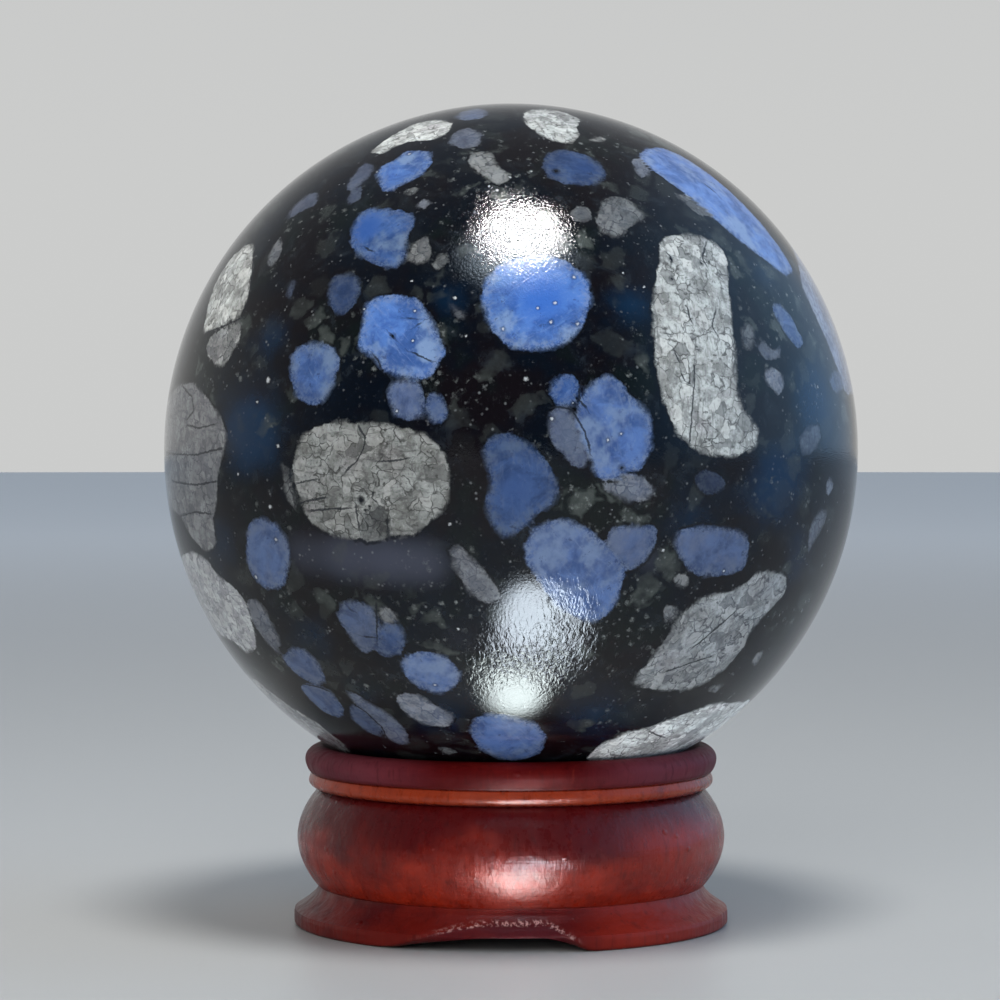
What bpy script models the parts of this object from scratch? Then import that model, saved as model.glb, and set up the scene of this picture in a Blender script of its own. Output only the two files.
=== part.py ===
"""A polished stone sphere that rests in a turned, lacquered wooden ring stand.

Metres, +Z up, front along -Y. The origin is on the ground, under the middle of the stand.
An azimuth is counted from the front, positive towards +X.
"""

import math

import bmesh
import bpy

# The stone sphere
SPHERE_RADIUS = 0.0325
SPHERE_AROUND = 72

# Heights of the stand's mouldings, from the ground up
FOOT_RIM_HEIGHT = 0.0014
FOOT_SLOPE_HEIGHT = 0.0022
BODY_HEIGHT = 0.0091
BEAD_HEIGHT = 0.0040

# Radii of the stand: the body's swell, and how far the other mouldings stand out or in from it
BODY_RADIUS = 0.0201
FOOT_PROJECTION = 0.0003
LOWER_GROOVE_DEPTH = 0.0020
UPPER_GROOVE_DEPTH = 0.0021
BEAD_SETBACK = 0.00074
TOP_EDGE_SETBACK = 0.00135
TOP_FLAT_WIDTH = 0.0003
WAIST_WALL = 0.0041

# How full each moulding's curve is: a low power is boxy, a high one is pointed or hollow
BODY_FULLNESS = 0.8
BEAD_FULLNESS = 0.75
FOOT_SLOPE_HOLLOW = 1.7

# The shallow arches cut under the foot, with the broad chamfer that eases their front edge
ARCH_COUNT = 3
ARCH_SPAN = math.radians(68)
FIRST_ARCH_AZIMUTH = math.radians(-11)
ARCH_RISE = 0.00126
ARCH_ROUNDNESS = 0.6
CHAMFER_TOP = 0.0024
CHAMFER_DEPTH = 0.0008
PAD_EDGE = 0.00015

# Space between the stone and its seat
SEAT_CLEARANCE = 0.0003

# Points on the stand's section, and sections around it
SLOPE_STEPS = 4
BODY_STEPS = 8
BEAD_STEPS = 6
SEAT_STEPS = 3
STAND_AROUND = 84
CHAMFER_STEP = 0.00006

# Places worked out from the sizes above
STAND_HEIGHT = FOOT_RIM_HEIGHT + FOOT_SLOPE_HEIGHT + BODY_HEIGHT + BEAD_HEIGHT
LOWER_GROOVE_Z = FOOT_RIM_HEIGHT + FOOT_SLOPE_HEIGHT
UPPER_GROOVE_Z = LOWER_GROOVE_Z + BODY_HEIGHT
FOOT_RADIUS = BODY_RADIUS + FOOT_PROJECTION
LOWER_GROOVE_RADIUS = BODY_RADIUS - LOWER_GROOVE_DEPTH
UPPER_GROOVE_RADIUS = BODY_RADIUS - UPPER_GROOVE_DEPTH
BEAD_RADIUS = BODY_RADIUS - BEAD_SETBACK
TOP_EDGE_RADIUS = BEAD_RADIUS - TOP_EDGE_SETBACK
SEAT_RADIUS = TOP_EDGE_RADIUS - TOP_FLAT_WIDTH
BORE_RADIUS = LOWER_GROOVE_RADIUS - WAIST_WALL
SEAT_SPHERE_RADIUS = SPHERE_RADIUS + SEAT_CLEARANCE
SPHERE_CENTRE_Z = STAND_HEIGHT + math.sqrt(SEAT_SPHERE_RADIUS**2 - SEAT_RADIUS**2)


def clear_scene():
    for obj in list(bpy.data.objects):
        bpy.data.objects.remove(obj, do_unlink=True)


def plain_material(name, colour, roughness):
    material = bpy.data.materials.new(name)
    material.use_nodes = True
    shader = material.node_tree.nodes["Principled BSDF"]
    shader.inputs["Base Color"].default_value = (*colour, 1.0)
    shader.inputs["Roughness"].default_value = roughness
    shader.inputs["Metallic"].default_value = 0.0
    return material


def polished_stone():
    return plain_material("polished_stone", (0.020, 0.026, 0.042), 0.12)


def red_lacquer():
    return plain_material("red_lacquer", (0.120, 0.012, 0.008), 0.25)


def object_from(mesh_builder, name, material, smooth_angle):
    """A new object whose mesh is the bmesh given, smooth but for its sharp edges."""
    mesh = bpy.data.meshes.new(name)
    mesh_builder.to_mesh(mesh)
    mesh_builder.free()
    mesh.shade_smooth()
    mesh.set_sharp_from_angle(angle=smooth_angle)
    mesh.materials.append(material)
    obj = bpy.data.objects.new(name, mesh)
    bpy.context.scene.collection.objects.link(obj)
    return obj


def build_sphere():
    ball = bmesh.new()
    bmesh.ops.create_uvsphere(
        ball, u_segments=SPHERE_AROUND, v_segments=SPHERE_AROUND // 2, radius=SPHERE_RADIUS
    )
    sphere = object_from(ball, "stone_sphere", polished_stone(), math.pi)
    sphere.location.z = SPHERE_CENTRE_Z
    return sphere


def swell(share, fullness):
    """How far a convex moulding stands out, from 0 in its grooves to 1 in its middle."""
    return math.sin(math.pi * share) ** fullness


def eased_share(step, steps):
    """A share from 0 to 1 whose steps are shorter near both ends, where a moulding turns most."""
    return (1 - math.cos(math.pi * step / steps)) / 2


def foot_radius_at(z):
    """The foot's outer radius: an upright rim, then a hollow slope in to the lower groove."""
    if z <= FOOT_RIM_HEIGHT:
        return FOOT_RADIUS
    left = max(0.0, (LOWER_GROOVE_Z - z) / FOOT_SLOPE_HEIGHT)
    return LOWER_GROOVE_RADIUS + (FOOT_RADIUS - LOWER_GROOVE_RADIUS) * left**FOOT_SLOPE_HOLLOW


def arch_share(azimuth):
    """0 on the pads that the stand rests on, rising to 1 at the crown of each arch."""
    period = 2 * math.pi / ARCH_COUNT
    past = (azimuth - FIRST_ARCH_AZIMUTH + period / 2) % period - period / 2
    across = past / (ARCH_SPAN / 2)
    return max(0.0, 1 - across**2) ** ARCH_ROUNDNESS


def foot_section(azimuth):
    """Points (radius, height) of the underside, its eased or chamfered edge and the foot's face."""
    arch = arch_share(azimuth)
    lift = ARCH_RISE * arch
    edge_depth = PAD_EDGE + (CHAMFER_DEPTH - PAD_EDGE) * arch
    edge_top = PAD_EDGE + (CHAMFER_TOP - PAD_EDGE) * arch
    heights = [PAD_EDGE, FOOT_RIM_HEIGHT]
    heights += [FOOT_RIM_HEIGHT + FOOT_SLOPE_HEIGHT * k / SLOPE_STEPS for k in range(1, SLOPE_STEPS)]
    points = [(BORE_RADIUS, lift), (FOOT_RADIUS - edge_depth, lift)]
    for k, height in enumerate(heights):
        z = max(height, edge_top + k * CHAMFER_STEP)
        points.append((foot_radius_at(z), z))
    return points


def body_section():
    """The swelling body, from the lower groove up to the upper one."""
    points = []
    for k in range(BODY_STEPS + 1):
        share = eased_share(k, BODY_STEPS)
        groove = LOWER_GROOVE_RADIUS + (UPPER_GROOVE_RADIUS - LOWER_GROOVE_RADIUS) * share
        radius = groove + (BODY_RADIUS - groove) * swell(share, BODY_FULLNESS)
        points.append((radius, LOWER_GROOVE_Z + BODY_HEIGHT * share))
    return points


def bead_section():
    """The round bead above the upper groove, up to the edge of the flat top."""
    points = []
    for k in range(1, BEAD_STEPS + 1):
        share = eased_share(k, BEAD_STEPS)
        foot = UPPER_GROOVE_RADIUS + (TOP_EDGE_RADIUS - UPPER_GROOVE_RADIUS) * share
        radius = foot + (BEAD_RADIUS - foot) * swell(share, BEAD_FULLNESS)
        points.append((radius, UPPER_GROOVE_Z + BEAD_HEIGHT * share))
    return points


def seat_section():
    """The hollow seat, concentric with the stone, from the flat top down to the bore."""
    points = []
    for k in range(SEAT_STEPS + 1):
        radius = SEAT_RADIUS + (BORE_RADIUS - SEAT_RADIUS) * k / SEAT_STEPS
        points.append((radius, SPHERE_CENTRE_Z - math.sqrt(SEAT_SPHERE_RADIUS**2 - radius**2)))
    return points


def stand_section(azimuth):
    return foot_section(azimuth) + body_section() + bead_section() + seat_section()


def build_stand():
    """The ring, lofted around through its sections, because the arches change them."""
    ring = bmesh.new()
    loops = []
    for turn in range(STAND_AROUND):
        azimuth = FIRST_ARCH_AZIMUTH + 2 * math.pi * turn / STAND_AROUND
        across, away = math.sin(azimuth), -math.cos(azimuth)
        loops.append([ring.verts.new((r * across, r * away, z)) for r, z in stand_section(azimuth)])
    for turn, loop in enumerate(loops):
        following = loops[(turn + 1) % STAND_AROUND]
        for k in range(len(loop)):
            up = (k + 1) % len(loop)
            ring.faces.new((loop[k], following[k], following[up], loop[up]))
    bmesh.ops.recalc_face_normals(ring, faces=ring.faces)
    return object_from(ring, "wooden_stand", red_lacquer(), math.radians(38))


clear_scene()
build_stand()
build_sphere()
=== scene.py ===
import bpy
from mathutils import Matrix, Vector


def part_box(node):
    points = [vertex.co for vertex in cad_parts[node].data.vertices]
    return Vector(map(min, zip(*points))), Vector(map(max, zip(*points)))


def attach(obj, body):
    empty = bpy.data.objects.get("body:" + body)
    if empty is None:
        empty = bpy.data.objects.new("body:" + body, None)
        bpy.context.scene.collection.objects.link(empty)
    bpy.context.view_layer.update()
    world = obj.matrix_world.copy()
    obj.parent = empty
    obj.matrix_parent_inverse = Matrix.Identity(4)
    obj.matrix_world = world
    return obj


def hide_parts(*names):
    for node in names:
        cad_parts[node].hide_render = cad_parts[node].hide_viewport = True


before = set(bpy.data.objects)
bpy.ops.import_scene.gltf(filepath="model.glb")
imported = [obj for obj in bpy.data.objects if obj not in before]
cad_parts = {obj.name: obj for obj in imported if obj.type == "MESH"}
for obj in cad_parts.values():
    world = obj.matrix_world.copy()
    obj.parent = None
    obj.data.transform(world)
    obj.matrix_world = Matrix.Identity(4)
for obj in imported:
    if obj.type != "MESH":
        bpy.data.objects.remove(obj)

"""The looks of a polished stone sphere that rests in a turned, lacquered wooden ring stand.

Metres, +Z up, front along -Y. A crystal's outline is given by the points where it shows in the
1000 x 1000 picture, and is laid on the stone along the camera's own lines of sight.
"""
import math
from collections import namedtuple

import bpy
import numpy as np
from mathutils import Vector

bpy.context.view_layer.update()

# The camera, in the picture's own terms
PICTURE_SIDE = 1000
FOCAL_PIXELS = 3278
SENSOR_WIDTH = 36.0
CAMERA_PLACE = np.array((0.0, -0.30875, 0.0456))
CAMERA_PITCH = math.radians(-1.097)
CAMERA_TURN = math.radians(0.19)

# The stone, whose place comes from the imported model
STONE_LOW, STONE_HIGH = (np.array(corner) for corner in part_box("stone_sphere"))
STONE_CENTRE = (STONE_LOW + STONE_HIGH) / 2
STONE_RADIUS = 0.0325
RADIUS_MM = STONE_RADIUS * 1000
FIRST_CUTS = 2
SECOND_CUTS = 42

# How fast a point that is drawn outside the stone's edge in the picture goes round behind it
BEHIND_EDGE_TURN = 3.0

# A pixel's width on the front of the stone, in millimetres
PIXEL_MM = 0.094

# How far the fields around a crystal, a crack and a fleck are worked out, in millimetres, and around a
# soft patch, in its radii
FIELD_REACH = 2.0
CRACK_REACH = 0.9
CRACK_SETS = 2
FLECK_REACH = 1.3
PATCH_REACH = 2.2
PATCH_FALL = 1.4

# A crystal's corners are cut by this share of each side, and each has its own stretch of the grain
CORNER_CUT = 0.16
GRAIN_STEP = 7.3

# The side of the stone that the picture doesn't show: sizes in millimetres, with the tries for each
HIDDEN_SEED = 11
HIDDEN_SIZES = ((7.6, 60), (5.4, 160), (3.6, 420), (2.2, 900), (1.3, 1400))
HIDDEN_SPACING = 0.93
PALE_SHARE = 0.34
SHOWN_CAP = 0.02

# Heights and radii of the stand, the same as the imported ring's
FOOT_RIM_HEIGHT = 0.0014
FOOT_SLOPE_HEIGHT = 0.0022
BODY_HEIGHT = 0.0091
BEAD_HEIGHT = 0.0040
BODY_RADIUS = 0.0201
FOOT_PROJECTION = 0.0003
LOWER_GROOVE_DEPTH = 0.0020
UPPER_GROOVE_DEPTH = 0.0021
BEAD_SETBACK = 0.00074
TOP_EDGE_SETBACK = 0.00135
TOP_FLAT_WIDTH = 0.0003
WAIST_WALL = 0.0041
BODY_FULLNESS = 0.8
BEAD_FULLNESS = 0.5
FOOT_SLOPE_HOLLOW = 1.7
ARCH_COUNT = 3
ARCH_SPAN = math.radians(68)
FIRST_ARCH_AZIMUTH = math.radians(-11)
ARCH_COMES_IN = (-0.95, 0.20)
ARCH_GOES_OUT = (0.55, 1.04)
ARCH_RISE = 0.00126
CHAMFER_TOP = 0.0024
CHAMFER_DEPTH = 0.0008
CHAMFER_BULGE = 0.00018
CHAMFER_ONSET = 2.5
RIM_EASE = 0.00006
RIM_EASE_HEIGHT = 0.0002
FOOT_EDGE = 0.00035
SEAT_CLEARANCE = 0.0003

# The narrow fillet under the bead, which the bead's own roll stands on
FILLET_HEIGHT = 0.0015
FILLET_RADIUS = 0.01872
FILLET_SWELL = 0.00030
FILLET_FULLNESS = 0.6

# How finely the ring is turned, how near two points are welded, and a hair's breadth to compare by
UNDERSIDE_STEPS = 6
EDGE_STEPS = 6
RIM_STEPS = 8
SLOPE_STEPS = 14
BODY_STEPS = 44
FILLET_STEPS = 12
BEAD_STEPS = 24
SEAT_STEPS = 8
RING_STEPS = 320
WELD_DISTANCE = 0.000004
SMOOTH_ANGLE = math.radians(38)
HAIR = 0.000001

# The studio's air: pale behind, dimmer overhead, dark on the camera's side, cool on the right
AIR_HORIZON = (0.60, 0.605, 0.60, 1.0)
AIR_OVERHEAD = (0.25, 0.27, 0.30, 1.0)
AIR_FRONT = (0.050, 0.058, 0.080, 1.0)
AIR_COOL = (0.62, 1.02, 1.55, 1.0)
COOL_SIDE = (0.97, 0.12, 0.20)
FRONT_SIDE = (0.0, -1.0, 0.0)

# Round lamps that light the object but don't show in its polish
Lamp = namedtuple("Lamp", "name place width depth watts colour")
OVERHEAD_LAMP = Lamp("overhead_lamp", (0.024, -0.149, 0.53), 0.165, None, 2.2, (1.0, 0.99, 0.97))
FRONT_FILL = Lamp("front_fill", (-0.38, -1.72, 0.92), 1.72, None, 21.8, (1.0, 0.985, 0.96))
FLOOR_BOUNCE = Lamp("floor_bounce", (0.02, -0.130, 0.001), 0.16, None, 0.10, (0.93, 0.96, 1.0))

# Lamps that the polish mirrors: a bright oval overhead in a cool haze, and two bright places on the
# floor, each with the share of its width that is at full strength
MIRRORED_OVERHEAD = (
    (Lamp("overhead_glare", (0.024, -0.142, 0.51), 0.122, 0.088, 12.0, (1.0, 0.99, 0.98)), 0.55),
    (Lamp("overhead_haze", (0.012, -0.225, 0.50), 0.30, 0.20, 4.0, (0.72, 0.86, 1.0)), 0.15),
)
FLOOR_GLINTS = (
    (Lamp("floor_glint_near", (0.0008, -0.0286, 0.0006), 0.0145, 0.0182, 0.0268, (0.88, 1.0, 1.0)), 0.5),
    (Lamp("floor_glint_far", (0.0068, -0.0500, 0.0006), 0.0250, 0.0430, 0.1230, (0.78, 0.89, 1.0)), 0.5),
)

# The floor, whose colour eases to a paler one further out
FLOOR_RADIUS = 4.0
FLOOR_SIDES = 128
FLOOR_BORDER = 0.5
FLOOR_NEAR = (0.40, 0.405, 0.40)
FLOOR_FAR = (0.86, 0.86, 0.85)
FLOOR_EASES_MM = (180.0, 1300.0)
FLOOR_ROUGHNESS = 0.42

STAND_HEIGHT = FOOT_RIM_HEIGHT + FOOT_SLOPE_HEIGHT + BODY_HEIGHT + BEAD_HEIGHT
LOWER_GROOVE_Z = FOOT_RIM_HEIGHT + FOOT_SLOPE_HEIGHT
UPPER_GROOVE_Z = LOWER_GROOVE_Z + BODY_HEIGHT
FOOT_RADIUS = BODY_RADIUS + FOOT_PROJECTION
LOWER_GROOVE_RADIUS = BODY_RADIUS - LOWER_GROOVE_DEPTH
UPPER_GROOVE_RADIUS = BODY_RADIUS - UPPER_GROOVE_DEPTH
BEAD_RADIUS = BODY_RADIUS - BEAD_SETBACK
TOP_EDGE_RADIUS = BEAD_RADIUS - TOP_EDGE_SETBACK
SEAT_RADIUS = TOP_EDGE_RADIUS - TOP_FLAT_WIDTH
BORE_RADIUS = LOWER_GROOVE_RADIUS - WAIST_WALL
SEAT_SPHERE_RADIUS = STONE_RADIUS + SEAT_CLEARANCE

# A crystal: how grey it is (0 blue, 1 pale feldspar), how light, how lilac, how much of it shows
# through the polish, and its outline in the picture
Crystal = namedtuple("Crystal", "name grey light lilac cover outline")

CRYSTALS = [
    Crystal("blue_top_left_wedge", 0.0, 0.84, 0.1, 1.0, [
        (376, 173), (383, 165), (396, 160), (404, 152), (416, 150), (431, 152), (432, 164), (421, 176),
        (404, 184), (391, 192), (381, 190)]),
    Crystal("blue_upper_left_hexagon", 0.0, 0.58, 0.05, 1.0, [
        (350, 232), (357, 216), (368, 208), (392, 209), (412, 213), (416, 223), (407, 238), (405, 258),
        (396, 269), (376, 266), (358, 256), (350, 243)]),
    Crystal("blue_left_round_dim", 0.0, 0.36, 0.35, 0.9, [
        (327, 290), (333, 277), (345, 273), (358, 277), (362, 289), (354, 306), (342, 317), (330, 308)]),
    Crystal("blue_left_octagon", 0.0, 0.92, 0.05, 1.0, [
        (357, 348), (361, 326), (366, 303), (375, 297), (398, 294), (418, 299), (427, 312), (437, 331),
        (448, 352), (438, 364), (432, 377), (418, 380), (396, 376), (382, 371), (375, 358)]),
    Crystal("blue_left_disc", 0.0, 0.68, 0.2, 1.0, [
        (289, 372), (291, 356), (300, 346), (316, 342), (334, 346), (341, 362), (334, 385), (324, 401),
        (311, 407), (297, 399)]),
    Crystal("lilac_middle_twin", 0.05, 0.6, 0.6, 1.0, [
        (385, 393), (391, 382), (405, 379), (419, 382), (425, 394), (423, 414), (410, 422), (396, 417)]),
    Crystal("blue_middle_twin", 0.0, 0.55, 0.4, 1.0, [
        (425, 400), (431, 392), (440, 394), (448, 409), (446, 420), (434, 424), (425, 413)]),
    Crystal("blue_middle_large", 0.0, 0.88, 0.0, 1.0, [
        (481, 300), (485, 281), (496, 266), (518, 257), (548, 255), (572, 264), (587, 277), (592, 297),
        (586, 321), (573, 338), (554, 349), (528, 352), (508, 347), (495, 335), (486, 319)]),
    Crystal("blue_right_lobe_small", 0.0, 0.58, 0.0, 1.0, [
        (549, 395), (552, 382), (562, 375), (574, 374), (581, 384), (579, 400), (567, 407), (555, 404)]),
    Crystal("blue_right_lobe_main", 0.0, 0.7, 0.3, 1.0, [
        (578, 405), (586, 389), (597, 378), (609, 374), (620, 381), (631, 396), (648, 411), (654, 430),
        (651, 452), (641, 470), (626, 472), (611, 482), (598, 478), (590, 466), (582, 448), (572, 428)]),
    Crystal("blue_right_lobe_left", 0.2, 0.42, 0.5, 1.0, [
        (548, 414), (560, 404), (572, 410), (582, 428), (591, 450), (589, 465), (577, 470), (563, 455),
        (550, 442)]),
    Crystal("grey_right_lobe_low", 0.55, 0.42, 0.3, 0.85, [
        (600, 480), (614, 483), (628, 474), (644, 477), (655, 490), (646, 500), (628, 502), (608, 493)]),
    Crystal("blue_kidney", 0.0, 0.36, 0.2, 1.0, [
        (482, 448), (491, 436), (508, 432), (526, 440), (541, 454), (553, 469), (560, 489), (554, 504),
        (536, 516), (518, 534), (503, 539), (490, 522), (484, 502), (491, 486), (487, 468)]),
    Crystal("blue_low_middle", 0.0, 0.7, 0.4, 1.0, [
        (524, 545), (532, 529), (548, 521), (568, 519), (588, 528), (606, 544), (622, 553), (626, 572),
        (618, 600), (604, 620), (582, 622), (556, 606), (538, 582), (526, 562)]),
    Crystal("blue_low_triangle", 0.0, 0.58, 0.7, 0.95, [
        (605, 545), (608, 530), (626, 524), (658, 526), (656, 543), (643, 565), (627, 572), (613, 558)]),
    Crystal("lilac_right_low", 0.0, 0.6, 0.7, 0.9, [
        (673, 545), (679, 529), (704, 525), (738, 529), (749, 540), (746, 569), (722, 577), (690, 574)]),
    Crystal("purple_right_dark", 0.0, 0.24, 0.8, 0.8, [
        (694, 476), (705, 469), (722, 475), (726, 486), (713, 496), (700, 492)]),
    Crystal("lilac_left_low", 0.0, 0.66, 0.6, 1.0, [
        (246, 536), (250, 522), (262, 516), (276, 523), (289, 542), (290, 562), (285, 586), (268, 591),
        (252, 577), (246, 556)]),
    Crystal("blue_low_left_pair", 0.1, 0.46, 0.6, 1.0, [
        (335, 614), (342, 603), (356, 599), (371, 606), (380, 622), (379, 645), (366, 655), (353, 643),
        (344, 627)]),
    Crystal("blue_low_left_pair_right", 0.0, 0.46, 0.45, 1.0, [
        (376, 630), (386, 621), (400, 624), (407, 640), (400, 656), (384, 658), (374, 648)]),
    Crystal("grey_low_left_cap", 0.8, 0.36, 0.2, 0.8, [
        (378, 612), (386, 606), (396, 612), (397, 622), (385, 624)]),
    Crystal("blue_low_centre_left", 0.0, 0.84, 0.45, 1.0, [
        (400, 663), (408, 655), (424, 651), (441, 654), (455, 664), (462, 676), (455, 688), (438, 695),
        (420, 688), (406, 677)]),
    Crystal("lilac_low_far_left", 0.0, 0.62, 0.7, 1.0, [
        (282, 656), (291, 647), (304, 648), (317, 660), (327, 680), (318, 687), (300, 677), (287, 665)]),
    Crystal("lilac_low_far_left_end", 0.0, 0.64, 0.7, 1.0, [
        (299, 684), (314, 683), (331, 691), (346, 710), (340, 719), (322, 711), (307, 697)]),
    Crystal("grey_blue_thin_upper", 0.35, 0.52, 0.5, 1.0, [
        (345, 690), (354, 692), (368, 702), (389, 714), (405, 728), (410, 742), (400, 746), (387, 738),
        (374, 721), (356, 704)]),
    Crystal("lilac_thin_lower", 0.0, 0.5, 0.8, 1.0, [
        (348, 705), (358, 706), (374, 719), (384, 730), (380, 737), (362, 729), (352, 719)]),
    Crystal("pale_low_left_slab", 0.6, 0.6, 0.3, 1.0, [
        (395, 699), (403, 692), (420, 695), (437, 706), (456, 718), (448, 727), (424, 725), (405, 713)]),
    Crystal("blue_bottom", 0.0, 0.88, 0.3, 1.0, [
        (469, 732), (474, 718), (488, 713), (512, 716), (536, 722), (547, 735), (541, 753), (520, 761),
        (497, 759), (478, 748)]),
    Crystal("blue_top_right", 0.0, 0.34, 0.25, 1.0, [
        (541, 165), (546, 154), (560, 149), (582, 153), (601, 164), (607, 177), (594, 186), (566, 185),
        (548, 178)]),
    Crystal("blue_long_streak", 0.0, 1.05, 0.35, 1.0, [
        (638, 157), (645, 149), (660, 147), (682, 156), (708, 173), (735, 196), (760, 222), (784, 254),
        (794, 272), (785, 276), (764, 259), (738, 240), (706, 212), (680, 190), (654, 172)]),
    Crystal("lilac_right_slip", 0.0, 0.72, 0.6, 0.9, [
        (771, 308), (778, 302), (789, 313), (804, 342), (799, 351), (785, 334)]),
    Crystal("grey_right_speck_high", 0.5, 0.42, 0.4, 0.7, [
        (756, 346), (763, 340), (772, 351), (781, 346), (780, 358), (766, 362)]),
    Crystal("grey_right_speck_low", 0.6, 0.55, 0.3, 0.9, [
        (764, 374), (771, 367), (782, 374), (785, 388), (777, 395), (769, 386)]),
    Crystal("grey_right_speck_mid", 0.8, 0.32, 0.2, 0.7, [
        (740, 330), (748, 322), (756, 334), (752, 350), (744, 348)]),
    Crystal("purple_top_left_high", 0.15, 0.4, 0.95, 1.0, [
        (346, 190), (352, 176), (365, 162), (375, 166), (369, 178), (354, 190)]),
    Crystal("purple_top_left_low", 0.1, 0.34, 0.95, 1.0, [
        (346, 200), (354, 188), (363, 185), (361, 198), (351, 205)]),
    Crystal("purple_top_far_left", 0.2, 0.42, 0.95, 0.9, [
        (287, 216), (295, 205), (308, 194), (318, 192), (317, 205), (303, 211), (290, 219)]),
    Crystal("lilac_top_speckled", 0.45, 0.46, 0.6, 0.8, [
        (447, 143), (455, 131), (469, 127), (482, 134), (480, 146), (462, 149)]),
    Crystal("purple_top", 0.1, 0.50, 0.8, 0.9, [
        (454, 118), (463, 111), (478, 108), (489, 112), (484, 118), (466, 121)]),
    Crystal("lilac_left_sliver", 0.1, 0.34, 0.7, 0.9, [
        (287, 294), (290, 283), (295, 280), (294, 290), (290, 299)]),
    Crystal("grey_right_patch_mid", 0.5, 0.40, 0.6, 0.6, [
        (799, 438), (807, 428), (818, 424), (822, 436), (812, 455), (802, 455)]),
    Crystal("grey_right_dash", 0.6, 0.60, 0.5, 0.8, [
        (826, 482), (831, 476), (834, 486), (829, 496), (826, 493)]),
    Crystal("grey_right_patch_low", 0.6, 0.46, 0.4, 0.7, [
        (808, 534), (813, 520), (822, 508), (828, 512), (824, 525), (812, 545), (808, 560)]),
    Crystal("purple_right_edge", 0.1, 0.5, 0.8, 0.7, [
        (828, 380), (834, 370), (842, 372), (844, 388), (836, 394)]),
    Crystal("pale_left_octagon", 1.0, 0.49, 0.0, 1.0, [
        (292, 470), (296, 449), (305, 434), (319, 424), (348, 422), (384, 424), (412, 429), (432, 439),
        (446, 455), (449, 478), (449, 500), (434, 519), (413, 536), (389, 536), (387, 514), (376, 503),
        (363, 508), (361, 540), (346, 538), (324, 532), (309, 520), (300, 500)]),
    Crystal("olive_octagon_wedge", 0.95, 0.25, 0.0, 1.0, [
        (363, 516), (375, 503), (387, 514), (389, 536), (376, 542), (362, 542)]),
    Crystal("pale_right_block", 1.0, 0.77, 0.0, 1.0, [
        (660, 236), (697, 235), (713, 242), (726, 253), (728, 284), (732, 326), (736, 384), (741, 407),
        (759, 430), (754, 449), (735, 456), (703, 456), (683, 440), (668, 416), (658, 382), (654, 344),
        (652, 302), (658, 268)]),
    Crystal("grey_right_low_rock", 0.92, 0.66, 0.1, 0.95, [
        (631, 684), (640, 671), (655, 655), (668, 634), (683, 612), (704, 596), (735, 590), (762, 570),
        (786, 574), (786, 592), (770, 610), (752, 628), (742, 650), (722, 672), (694, 689), (656, 690)]),
    Crystal("pale_bottom_crescent", 1.0, 1.95, 0.1, 1.0, [
        (584, 760), (600, 745), (622, 734), (650, 727), (684, 714), (716, 702), (752, 698), (740, 714),
        (716, 736), (690, 750), (650, 757), (612, 762)]),
    Crystal("pale_left_high_block", 1.0, 1.16, 0.0, 1.0, [
        (203, 334), (208, 306), (217, 280), (233, 256), (246, 245), (254, 243), (252, 270), (248, 298),
        (240, 317), (222, 326)]),
    Crystal("grey_left_high_foot", 0.95, 0.62, 0.0, 1.0, [
        (205, 350), (211, 336), (225, 327), (241, 320), (240, 340), (224, 368), (212, 362)]),
    Crystal("grey_left_edge_bricks", 0.95, 0.5, 0.6, 1.0, [
        (158, 455), (164, 410), (178, 386), (193, 382), (208, 398), (221, 418), (227, 436), (222, 458),
        (217, 480), (217, 504), (213, 520), (217, 545), (206, 552), (192, 538), (180, 515), (164, 500)]),
    Crystal("pale_left_low_lumps", 0.95, 1.15, 0.5, 1.0, [
        (176, 560), (190, 550), (206, 558), (218, 576), (234, 586), (247, 604), (254, 630), (258, 647),
        (248, 654), (232, 640), (210, 626), (192, 600)]),
    Crystal("grey_left_low_thin", 0.6, 0.44, 0.4, 0.9, [
        (246, 601), (255, 597), (268, 614), (280, 640), (280, 656), (266, 642), (252, 620)]),
    Crystal("pale_low_left_edge_band", 0.9, 0.74, 0.2, 1.0, [
        (236, 668), (256, 679), (284, 702), (314, 720), (342, 742), (352, 753), (330, 756), (296, 738),
        (262, 706)]),
    Crystal("pale_top_right_slab", 1.0, 0.92, 0.0, 1.0, [
        (522, 117), (528, 110), (548, 109), (570, 114), (582, 121), (576, 127), (580, 137), (568, 145),
        (549, 139), (529, 128)]),
    Crystal("pale_top_right_dash", 1.0, 0.60, 0.0, 0.9, [
        (589, 140), (597, 136), (606, 139), (600, 142)]),
    Crystal("pale_top_left_slab", 1.0, 1.2, 0.0, 1.0, [
        (370, 153), (380, 144), (397, 133), (416, 123), (436, 120), (453, 123), (449, 132), (434, 140),
        (412, 141), (396, 146), (382, 154)]),
    Crystal("olive_top_right_kite", 0.85, 0.31, 0.0, 0.95, [
        (596, 224), (599, 208), (606, 198), (620, 195), (646, 215), (630, 229), (615, 239), (603, 233)]),
    Crystal("olive_top_right_scrap", 0.85, 0.36, 0.0, 0.9, [
        (570, 213), (577, 205), (590, 209), (593, 219), (582, 223), (573, 220)]),
    Crystal("grey_top_slab", 0.9, 0.4, 0.0, 0.9, [
        (467, 160), (470, 152), (491, 152), (498, 166), (511, 178), (499, 187), (484, 176), (473, 168)]),
    Crystal("olive_upper_left_scrap", 0.9, 0.44, 0.0, 0.95, [
        (407, 257), (414, 244), (423, 236), (430, 237), (431, 257), (421, 264), (410, 262)]),
    Crystal("grey_upper_left_scrap", 0.9, 0.34, 0.0, 0.8, [
        (431, 266), (438, 256), (448, 251), (446, 263), (437, 271)]),
    Crystal("grey_left_scrap", 0.8, 0.36, 0.3, 0.9, [
        (267, 262), (271, 249), (279, 239), (284, 245), (278, 259), (270, 268)]),
    Crystal("grey_low_middle_point", 0.75, 0.46, 0.5, 0.8, [
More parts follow.
